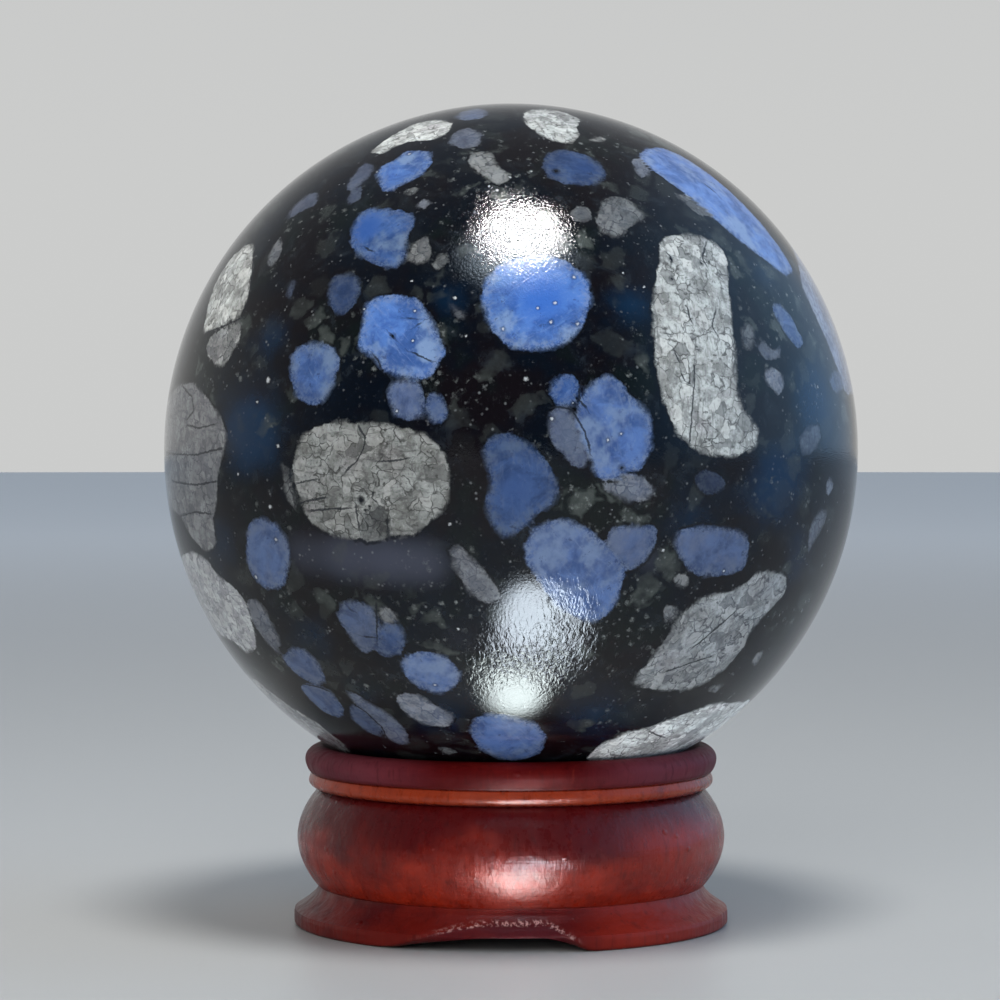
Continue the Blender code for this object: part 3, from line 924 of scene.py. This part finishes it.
    # Pale crystals: granular feldspar with sub-parallel wavy cracks and small dark inclusions
    pale = f.mix(f.ease(medium, 0.36, 0.64), (0.290, 0.297, 0.280), (0.57, 0.60, 0.58))
    pale = f.tint(pale, (0.35, 0.325, 0.33), drift, 0.50, 0.68, 0.50)
    pale = f.tint(pale, (0.120, 0.122, 0.118), sugar, 0.50, 0.28, 0.85)
    pale = f.tint(pale, (0.80, 0.81, 0.79), sugar, 0.54, 0.72, 0.65)
    lump_tone = f.node("ShaderNodeSeparateColor", {"Color": f.cells(crumpled, 0.85, output="Color")})
    pale = f.tint(pale, (0.150, 0.154, 0.150), lump_tone.outputs[0], 0.45, 0.0, 0.62)
    pale = f.tint(pale, (0.72, 0.73, 0.70), lump_tone.outputs[1], 0.60, 1.0, 0.55)
    lump_edge = f.ease(f.cells(crumpled, 0.85, "DISTANCE_TO_EDGE"), 0.075, 0.005)
    lump_edge = f.times(lump_edge, f.ease(veil, 0.44, 0.56, 0.12, 0.85))
    pale = f.mix(lump_edge, pale, (0.060, 0.060, 0.057))
    pale = f.tint(pale, (0.120, 0.122, 0.120), streaks, 0.48, 0.32, 0.62)
    marks = f.plus(f.cells(f.stretched(grain, (2.0, 1.0, 1.0)), 1.0), frayed)
    marks = f.times(f.ease(marks, 0.78, 0.60), f.ease(worn, 0.44, 0.58))
    pale = f.mix(f.times(marks, 0.78), pale, (0.080, 0.080, 0.076))
    pale = f.tint(pale, (0.120, 0.122, 0.118), worn, 0.48, 0.32, 0.55)
    pale = f.mix(f.times(lilac, 0.55), pale, (0.33, 0.33, 0.38))

    crystal = f.mix(f.field("stone_grey"), blue, pale)
    crystal = f.mix(1.0, crystal, f.grey(light), "MULTIPLY")
    colour = f.mix(shown, ground, crystal)
    seam = f.ease(f.maths("ABSOLUTE", f.plus(depth, 0.14)), 0.24, 0.02)
    seam = f.times(seam, f.ease(veil, 0.56, 0.44, 0.1, 0.75))
    colour = f.mix(seam, colour, (0.004, 0.005, 0.007))

    # Cracks and pinpoints that are in their own places
    wander = f.line(mottle, 0.40, -0.20)
    wide = f.line(worn, 0.20, -0.03)
    for layer in range(CRACK_SETS):
        side = f.maths("ABSOLUTE", f.plus(f.field("crack_side_%d" % layer), wander))
        line = f.ease(f.maths("SUBTRACT", side, wide), 0.050, -0.020)
        line = f.times(line, f.ease(f.field("crack_near_%d" % layer), 0.10, 0.55))
        colour = f.mix(f.times(line, 0.85), colour, (0.010, 0.012, 0.016))
    fleck = f.node("ShaderNodeSeparateXYZ", {"Vector": f.field("stone_fleck", "Vector")}).outputs
    away = f.maths("SQRT", f.plus(f.maths("POWER", fleck[0], 2.0), f.maths("POWER", fleck[1], 2.0)))
    away = f.plus(away, f.line(frayed, 0.36, -0.14))
    reach = f.maths("ABSOLUTE", fleck[2])
    here = f.ease(f.field("stone_fleck_near"), 0.58, 0.72)
    dot = f.times(f.ease(f.maths("DIVIDE", away, reach), 1.25, 0.30), here)
    halo = f.times(f.ease(f.maths("DIVIDE", away, reach), 2.6, 1.2), here)
    colour = f.mix(f.times(halo, 0.40), colour, (0.004, 0.005, 0.007))
    white = f.maths("GREATER_THAN", fleck[2], 0.0)
    colour = f.mix(dot, colour, f.mix(white, (0.004, 0.005, 0.008), (0.44, 0.46, 0.47)))
    f.put(colour, f.shader.inputs["Base Color"])

    # The polish: fine sanding marks and pinholes, and a rippled patch low on the front
    f.put(f.ease(mottle, 0.42, 0.72, 0.05, 0.13), f.shader.inputs["Roughness"])
    f.shader.inputs["IOR"].default_value = 1.34
    pits = f.noise(place, 4.6, 2.0, 0.70)
    pits = f.times(pits, f.line(f.field("stone_pitted"), 0.36, 0.10))
    lines = f.noise(f.stretched(place, (2.5, 2.5, 0.15)), 1.0, 2.0, 0.6, 0.7)
    lines = f.times(lines, f.field("stone_ripple"))
    f.put(f.bump(f.plus(pits, lines), 0.000105), f.shader.inputs["Normal"])
    return f.material


def swell(share, fullness):
    """How far a convex moulding stands out, from 0 in its grooves to 1 in its middle."""
    return math.sin(math.pi * share) ** fullness


def eased_share(step, steps):
    """A share from 0 to 1 whose steps are shorter near both ends, where a moulding turns most."""
    return (1 - math.cos(math.pi * step / steps)) / 2


def foot_radius_at(z):
    """The foot's outer radius: an upright rim, then a hollow slope in to the lower groove."""
    if z <= FOOT_RIM_HEIGHT:
        return FOOT_RADIUS
    left = max(0.0, (LOWER_GROOVE_Z - z) / FOOT_SLOPE_HEIGHT)
    return LOWER_GROOVE_RADIUS + (FOOT_RADIUS - LOWER_GROOVE_RADIUS) * left**FOOT_SLOPE_HOLLOW


def soft_step(value, low, high):
    share = min(1.0, max(0.0, (value - low) / (high - low)))
    return share * share * (3 - 2 * share)


def arch_share(azimuth):
    """0 on the pads that the stand rests on, 1 under an arch, which comes in slowly from its left."""
    period = 2 * math.pi / ARCH_COUNT
    past = (azimuth - FIRST_ARCH_AZIMUTH + period / 2) % period - period / 2
    across = past / (ARCH_SPAN / 2)
    return soft_step(across, *ARCH_COMES_IN) * (1 - soft_step(across, *ARCH_GOES_OUT))


def foot_section():
    """The foot's outside, from the ground round its worn edge and up its rim and hollow slope."""
    points = []
    for k in range(EDGE_STEPS + 1):
        turn = math.pi / 2 * k / EDGE_STEPS
        points.append((FOOT_RADIUS - FOOT_EDGE * (1 - math.sin(turn)), FOOT_EDGE * (1 - math.cos(turn))))
    rise = FOOT_RIM_HEIGHT - FOOT_EDGE
    heights = [FOOT_EDGE + rise * k / RIM_STEPS for k in range(1, RIM_STEPS + 1)]
    heights += [FOOT_RIM_HEIGHT + FOOT_SLOPE_HEIGHT * k / SLOPE_STEPS for k in range(1, SLOPE_STEPS)]
    for z in heights:
        eased = RIM_EASE * math.exp(-((z - FOOT_RIM_HEIGHT) / RIM_EASE_HEIGHT) ** 2)
        points.append((foot_radius_at(z) - eased, z))
    return points


def moulding(low, high, full_radius, fullness, steps, first=0):
    """A convex moulding between two grooves, each (radius, height)."""
    points = []
    for k in range(first, steps + 1):
        share = eased_share(k, steps)
        chord = low[0] + (high[0] - low[0]) * share
        radius = chord + (full_radius - chord) * swell(share, fullness)
        points.append((radius, low[1] + (high[1] - low[1]) * share))
    return points


def ring_section():
    """The ring's closed section, as (radius, height), from the underside's inner edge outwards."""
    lower_groove = (LOWER_GROOVE_RADIUS, LOWER_GROOVE_Z)
    upper_groove = (UPPER_GROOVE_RADIUS, UPPER_GROOVE_Z)
    fillet_top = (FILLET_RADIUS, UPPER_GROOVE_Z + FILLET_HEIGHT)
    top_edge = (TOP_EDGE_RADIUS, STAND_HEIGHT)
    points = [(BORE_RADIUS, 0.0)]
    underside = FOOT_RADIUS - FOOT_EDGE - BORE_RADIUS
    points += [(BORE_RADIUS + underside * k / UNDERSIDE_STEPS, 0.0) for k in range(1, UNDERSIDE_STEPS)]
    points += foot_section()
    points += moulding(lower_groove, upper_groove, BODY_RADIUS, BODY_FULLNESS, BODY_STEPS)
    fillet_radius = FILLET_RADIUS + FILLET_SWELL
    points += moulding(upper_groove, fillet_top, fillet_radius, FILLET_FULLNESS, FILLET_STEPS, 1)
    points += moulding(fillet_top, top_edge, BEAD_RADIUS, BEAD_FULLNESS, BEAD_STEPS, 1)
    for k in range(SEAT_STEPS + 1):
        radius = SEAT_RADIUS + (BORE_RADIUS - SEAT_RADIUS) * k / SEAT_STEPS
        points.append((radius, STONE_CENTRE[2] - math.sqrt(SEAT_SPHERE_RADIUS**2 - radius**2)))
    return points


def add_stand():
    """The ring: its section drawn point by point, spun round the axis, then arched underneath."""
    section = ring_section()
    deselect_all()
    bpy.ops.mesh.primitive_plane_add(size=0.001)
    stand = bpy.context.object
    stand.name = "turned_ring_stand"
    stand.data.name = stand.name
    bpy.ops.object.mode_set(mode="EDIT")
    bpy.ops.mesh.select_all(action="SELECT")
    bpy.ops.mesh.merge(type="CENTER")
    radius, height = section[0]
    bpy.ops.transform.translate(value=(0.0, -radius, height))
    for start, end in zip(section, section[1:]):
        step = (0.0, start[0] - end[0], end[1] - start[1])
        bpy.ops.mesh.extrude_region_move(TRANSFORM_OT_translate={"value": step})
    bpy.ops.mesh.select_all(action="SELECT")
    bpy.ops.mesh.edge_face_add()
    bpy.ops.mesh.delete(type="ONLY_FACE")
    bpy.ops.mesh.select_all(action="SELECT")
    bpy.ops.mesh.spin(steps=RING_STEPS, angle=2 * math.pi, center=(0, 0, 0), axis=(0, 0, 1))
    bpy.ops.mesh.select_all(action="SELECT")
    bpy.ops.mesh.remove_doubles(threshold=WELD_DISTANCE)
    bpy.ops.mesh.normals_make_consistent(inside=False)
    bpy.ops.object.mode_set(mode="OBJECT")
    above_facet = []
    arched = []
    for vertex in stand.data.vertices:
        arch = arch_share(math.atan2(vertex.co.x, -vertex.co.y))
        arched.append(arch)
        above_facet.append((vertex.co.z - CHAMFER_TOP * arch) * 1000)
        lift_under_arch(vertex)
    stand.data.update()
    write_field(stand, "stand_above_facet", np.array(above_facet))
    write_field(stand, "stand_arch", np.array(arched))
    bpy.ops.object.shade_smooth_by_angle(angle=SMOOTH_ANGLE)
    return stand


def lift_under_arch(vertex):
    """Moves a vertex of the plain turned foot to where the arch and its chamfer put it."""
    height = vertex.co.z
    if height >= CHAMFER_TOP:
        return
    radius = math.hypot(vertex.co.x, vertex.co.y)
    arch = arch_share(math.atan2(vertex.co.x, -vertex.co.y))
    if arch <= 0 or radius < BORE_RADIUS + 10 * HAIR and height > 10 * HAIR:
        return
    lift = ARCH_RISE * arch
    foot_in = (FOOT_RADIUS - FOOT_EDGE) - (CHAMFER_DEPTH - FOOT_EDGE) * arch
    flat_out = FOOT_RADIUS - FOOT_EDGE
    if height < HAIR and radius <= flat_out + HAIR:
        moved = BORE_RADIUS + (radius - BORE_RADIUS) * (foot_in - BORE_RADIUS) / (flat_out - BORE_RADIUS)
        height = lift
    elif radius > LOWER_GROOVE_RADIUS:
        edge_top = CHAMFER_TOP * arch
        if height >= edge_top:
            return
        share = height / edge_top
        top_radius = foot_radius_at(edge_top)
        bulge = 4 * share * (1 - share) * CHAMFER_BULGE
        faceted = foot_in + (top_radius - foot_in) * share + bulge
        onset = min(1.0, arch * CHAMFER_ONSET)
        moved = radius + (faceted - radius) * onset
        height = height + (lift + (edge_top - lift) * share - height) * onset
    else:
        return
    vertex.co.x *= moved / radius
    vertex.co.y *= moved / radius
    vertex.co.z = height


def red_lacquer():
    """Dark red lacquer over turned wood, warmer towards the right on the body and the foot, with painted
    bounce light that makes the lower body and the fillet under the bead lighter and more orange.
    """
    f = Finish("red_lacquer_finish")
    place = f.millimetres()
    split = f.node("ShaderNodeSeparateXYZ", {"Vector": place}).outputs
    height = split["Z"]
    fibres = f.noise(f.stretched(place, (1.7, 1.7, 0.20)), 1.0, 4.0, 0.62, 0.5)
    clouds = f.noise(f.stretched(place, (1.0, 1.0, 1.6)), 0.13, 3.0, 0.55)
    blotch = f.noise(place, 0.40, 4.0, 0.62)
    # Painted bounce light: the lower half of the body, which faces the floor, is painted warmer and
    # lighter. The right side of the body and of the foot is warmer too.
    low_body = f.plus(height, f.line(clouds, 10.0, -5.0))
    warm_and_bounce_lit = f.ease(low_body, 10.6, 5.2)
    warm_and_bounce_lit = f.times(warm_and_bounce_lit, f.ease(blotch, 0.28, 0.62, 0.45, 1.0))
    right = f.times(f.ease(split["X"], 8.0, 15.0), f.ease(height, 12.0, 9.0))
    warm_and_bounce_lit = f.maths("MAXIMUM", warm_and_bounce_lit, f.times(right, 0.75))
    foot = f.ease(split["X"], 4.0, 11.0, 0.0, 0.70)
    foot = f.maths("MAXIMUM", f.ease(clouds, 0.60, 0.42, 0.0, 0.25), foot)
    warm_and_bounce_lit = f.mix(f.ease(height, 3.9, 3.5), f.grey(warm_and_bounce_lit), f.grey(foot))
    red = f.mix(warm_and_bounce_lit, (0.074, 0.0028, 0.0032), (0.315, 0.0215, 0.0078))
    # Painted bounce light: the fillet under the bead, which faces down to the floor, is painted a lighter
    # orange
    fillet = f.times(f.ease(height, 12.75, 13.0), f.ease(height, 14.30, 14.05))
    fillet = f.times(fillet, f.ease(blotch, 0.20, 0.50, 0.45, 1.0))
    red = f.mix(fillet, red, (0.270, 0.0310, 0.0080))
    bead = f.times(f.ease(height, 14.3, 14.8), f.ease(clouds, 0.44, 0.62))
    red = f.mix(f.times(bead, 0.5), red, (0.125, 0.0060, 0.0045))
    # Painted reflection: the bead's left and right ends, seen edge-on, are painted a pale lilac sheen
    painted_edge_sheen = f.ease(f.maths("ABSOLUTE", split["X"]), 5.0, 14.0, 0.0, 0.45)
    red = f.mix(f.times(painted_edge_sheen, f.ease(height, 14.2, 14.7)), red, (0.165, 0.052, 0.075))
    red = f.tint(red, (0.024, 0.0018, 0.0018), fibres, 0.48, 0.28, 0.38)
    red = f.tint(red, (0.30, 0.040, 0.016), fibres, 0.58, 0.82, 0.22)
    specks = f.times(f.ease(f.cells(place, 0.9), 0.10, 0.05), f.ease(blotch, 0.45, 0.60))
    red = f.mix(f.times(specks, 0.7), red, (0.014, 0.0014, 0.0014))

    # The scooped facet over each arch, painted a darker, purplish maroon as shade, and along its top a
    # pale edge that is worn lacquer and a painted highlight
    above = f.field("stand_above_facet")
    arched = f.ease(f.field("stand_arch"), 0.25, 0.85)
    facet_painted_shade = f.times(f.ease(above, 0.05, -0.15), arched)
    red = f.mix(f.times(facet_painted_shade, 0.65), red, (0.058, 0.0075, 0.0120))
    # Worn lacquer and a painted highlight: a broken pale line along the facet's top edge, where its
    # rounded edge would catch the light
    worn = f.times(f.ease(f.maths("ABSOLUTE", above), 0.50, 0.10), arched)
    strokes = f.noise(f.stretched(place, (3.0, 3.0, 1.0)), 1.0, 3.0, 0.7)
    worn = f.times(worn, f.ease(strokes, 0.50, 0.62))
    worn = f.times(worn, f.ease(split["X"], -8.0, -3.0, 0.15, 1.0))
    red = f.mix(f.times(worn, 0.80), red, (0.60, 0.36, 0.33))
    f.put(red, f.shader.inputs["Base Color"])
    smear = f.noise(f.stretched(place, (1.3, 1.3, 0.7)), 1.0, 4.0, 0.65)
    dull = f.maths("MAXIMUM", facet_painted_shade, f.ease(height, 14.2, 14.5))
    dull = f.maths("MAXIMUM", dull, f.ease(height, 3.9, 3.5, 0.0, 0.42))
    rough = f.ease(smear, 0.35, 0.75, 0.25, 0.43)
    f.put(f.line(dull, 0.20, rough), f.shader.inputs["Roughness"])
    f.shader.inputs["IOR"].default_value = 1.29
    f.put(f.line(dull, -0.11, 0.13), f.shader.inputs["Coat Weight"])
    f.put(f.line(dull, -0.40, 0.5), f.shader.inputs["Specular IOR Level"])
    f.shader.inputs["Coat Roughness"].default_value = 0.14
    pores = f.noise(f.stretched(place, (3.0, 3.0, 0.50)), 1.0, 4.0, 0.65, 0.4)
    drops = f.ease(f.cells(f.stretched(place, (1.0, 1.0, 1.3)), 0.36), 0.15, 0.02)
    lathe = f.noise(f.stretched(place, (0.05, 0.05, 5.5)), 1.0, 2.0, 0.5)
    waves = f.noise(place, 0.33, 3.0, 0.5)
    normal = f.bump(pores, 0.000036)
    for relief, height in ((drops, 0.000080), (lathe, 0.000014), (waves, 0.000200)):
        normal = f.bump(relief, height, normal)
    f.put(normal, f.shader.inputs["Normal"])
    f.put(normal, f.shader.inputs["Coat Normal"])
    return f.material


def floor_finish():
    f = Finish("studio_floor_finish")
    far = f.node("ShaderNodeVectorMath", {0: f.millimetres()}, operation="LENGTH").outputs["Value"]
    f.put(f.mix(f.ease(far, *FLOOR_EASES_MM), FLOOR_NEAR, FLOOR_FAR), f.shader.inputs["Base Color"])
    f.shader.inputs["Roughness"].default_value = FLOOR_ROUGHNESS
    return f.material


def add_stage():
    """A pale floor that runs out to the pale air of the studio."""
    deselect_all()
    bpy.ops.mesh.primitive_circle_add(vertices=FLOOR_SIDES, radius=FLOOR_RADIUS, fill_type="NGON")
    floor = bpy.context.object
    floor.name = "studio_floor"
    bpy.ops.object.mode_set(mode="EDIT")
    bpy.ops.mesh.select_all(action="SELECT")
    bpy.ops.mesh.inset(thickness=FLOOR_BORDER)
    bpy.ops.object.mode_set(mode="OBJECT")
    floor.data.materials.append(floor_finish())


def add_lamp(lamp, aim, shape="DISK"):
    """A soft lamp, turned towards its aim, which the camera doesn't see."""
    light = bpy.data.lights.new(lamp.name, "AREA")
    light.shape = shape
    light.size = lamp.width
    if lamp.depth:
        light.size_y = lamp.depth
    light.energy = lamp.watts
    light.color = lamp.colour
    lit = bpy.data.objects.new(lamp.name, light)
    bpy.context.scene.collection.objects.link(lit)
    lit.location = lamp.place
    lit.rotation_euler = (Vector(lamp.place) - Vector(aim)).to_track_quat("Z", "Y").to_euler()
    lit.visible_camera = False
    return lit


def straight_above(lamp):
    return (lamp.place[0], lamp.place[1], 1.0)


def soften_lamp(lit, full_share):
    """Makes a lamp fade from its middle to its rim."""
    lit.data.use_nodes = True
    nodes, links = lit.data.node_tree.nodes, lit.data.node_tree.links
    from_middle = nodes.new("ShaderNodeMapping")
    from_middle.inputs["Location"].default_value = (-1.0, -1.0, 0.0)
    from_middle.inputs["Scale"].default_value = (2.0, 2.0, 0.0)
    links.new(nodes.new("ShaderNodeNewGeometry").outputs["Parametric"], from_middle.inputs["Vector"])
    length = nodes.new("ShaderNodeVectorMath")
    length.operation = "LENGTH"
    links.new(from_middle.outputs["Vector"], length.inputs[0])
    fade = nodes.new("ShaderNodeMapRange")
    fade.interpolation_type = "SMOOTHSTEP"
    fade.inputs["From Min"].default_value = 1.0
    fade.inputs["From Max"].default_value = full_share
    links.new(length.outputs["Value"], fade.inputs["Value"])
    links.new(fade.outputs["Result"], nodes["Emission"].inputs["Strength"])


def blend_air(nodes, links, towards, side, low, high, base, colour):
    """Mixes a colour into the air towards one side."""
    facing = nodes.new("ShaderNodeVectorMath")
    facing.operation = "DOT_PRODUCT"
    facing.inputs[1].default_value = side
    links.new(towards, facing.inputs[0])
    share = nodes.new("ShaderNodeMapRange")
    share.interpolation_type = "SMOOTHSTEP"
    share.inputs["From Min"].default_value = low
    share.inputs["From Max"].default_value = high
    links.new(facing.outputs["Value"], share.inputs["Value"])
    blend = nodes.new("ShaderNodeMix")
    blend.data_type = "RGBA"
    links.new(share.outputs["Result"], blend.inputs[0])
    if isinstance(base, bpy.types.NodeSocket):
        links.new(base, blend.inputs[6])
    else:
        blend.inputs[6].default_value = base
    blend.inputs[7].default_value = colour
    return blend.outputs[2]


def add_air():
    """The studio's light from all round."""
    world = bpy.data.worlds.new("studio_air")
    bpy.context.scene.world = world
    world.use_nodes = True
    nodes, links = world.node_tree.nodes, world.node_tree.links
    towards = nodes.new("ShaderNodeTexCoord").outputs["Generated"]
    air = blend_air(nodes, links, towards, (0.0, 0.0, 1.0), 0.05, 0.75, AIR_HORIZON, AIR_OVERHEAD)
    air = blend_air(nodes, links, towards, FRONT_SIDE, -0.35, 0.75, air, AIR_FRONT)
    air = blend_air(nodes, links, towards, COOL_SIDE, 0.45, 1.0, air, AIR_COOL)
    links.new(air, nodes["Background"].inputs["Color"])
    nodes["Background"].inputs["Strength"].default_value = 1.0


def light_scene():
    add_air()
    centre = tuple(STONE_CENTRE)
    unseen = [(OVERHEAD_LAMP, centre), (FRONT_FILL, centre), (FLOOR_BOUNCE, straight_above(FLOOR_BOUNCE))]
    for lamp, aim in unseen:
        add_lamp(lamp, aim).visible_glossy = False
    mirrored = [(lamp, full, centre, "ELLIPSE") for lamp, full in MIRRORED_OVERHEAD]
    mirrored += [(lamp, full, straight_above(lamp), "RECTANGLE") for lamp, full in FLOOR_GLINTS]
    for lamp, full, aim, shape in mirrored:
        lit = add_lamp(lamp, aim, shape)
        lit.visible_diffuse = False
        soften_lamp(lit, full)
    bpy.context.scene.view_settings.view_transform = "Standard"


def add_camera():
    lens = bpy.data.cameras.new("picture_camera")
    lens.sensor_width = SENSOR_WIDTH
    lens.lens = SENSOR_WIDTH * FOCAL_PIXELS / PICTURE_SIDE
    lens.clip_start = 0.005
    lens.clip_end = 20.0
    camera = bpy.data.objects.new("picture_camera", lens)
    bpy.context.scene.collection.objects.link(camera)
    camera.location = CAMERA_PLACE
    camera.rotation_euler = (math.pi / 2 + CAMERA_PITCH, 0.0, CAMERA_TURN)
    bpy.context.scene.camera = camera


def finish_piece(piece, node, material):
    piece.data.materials.clear()
    piece.data.materials.append(material)
    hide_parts(node)
    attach(piece, "root")


add_camera()
light_scene()
add_stage()
stone, stone_directions = add_stone()
dress_stone(stone, stone_directions)
finish_piece(stone, "stone_sphere", polished_stone())
finish_piece(add_stand(), "wooden_stand", red_lacquer())
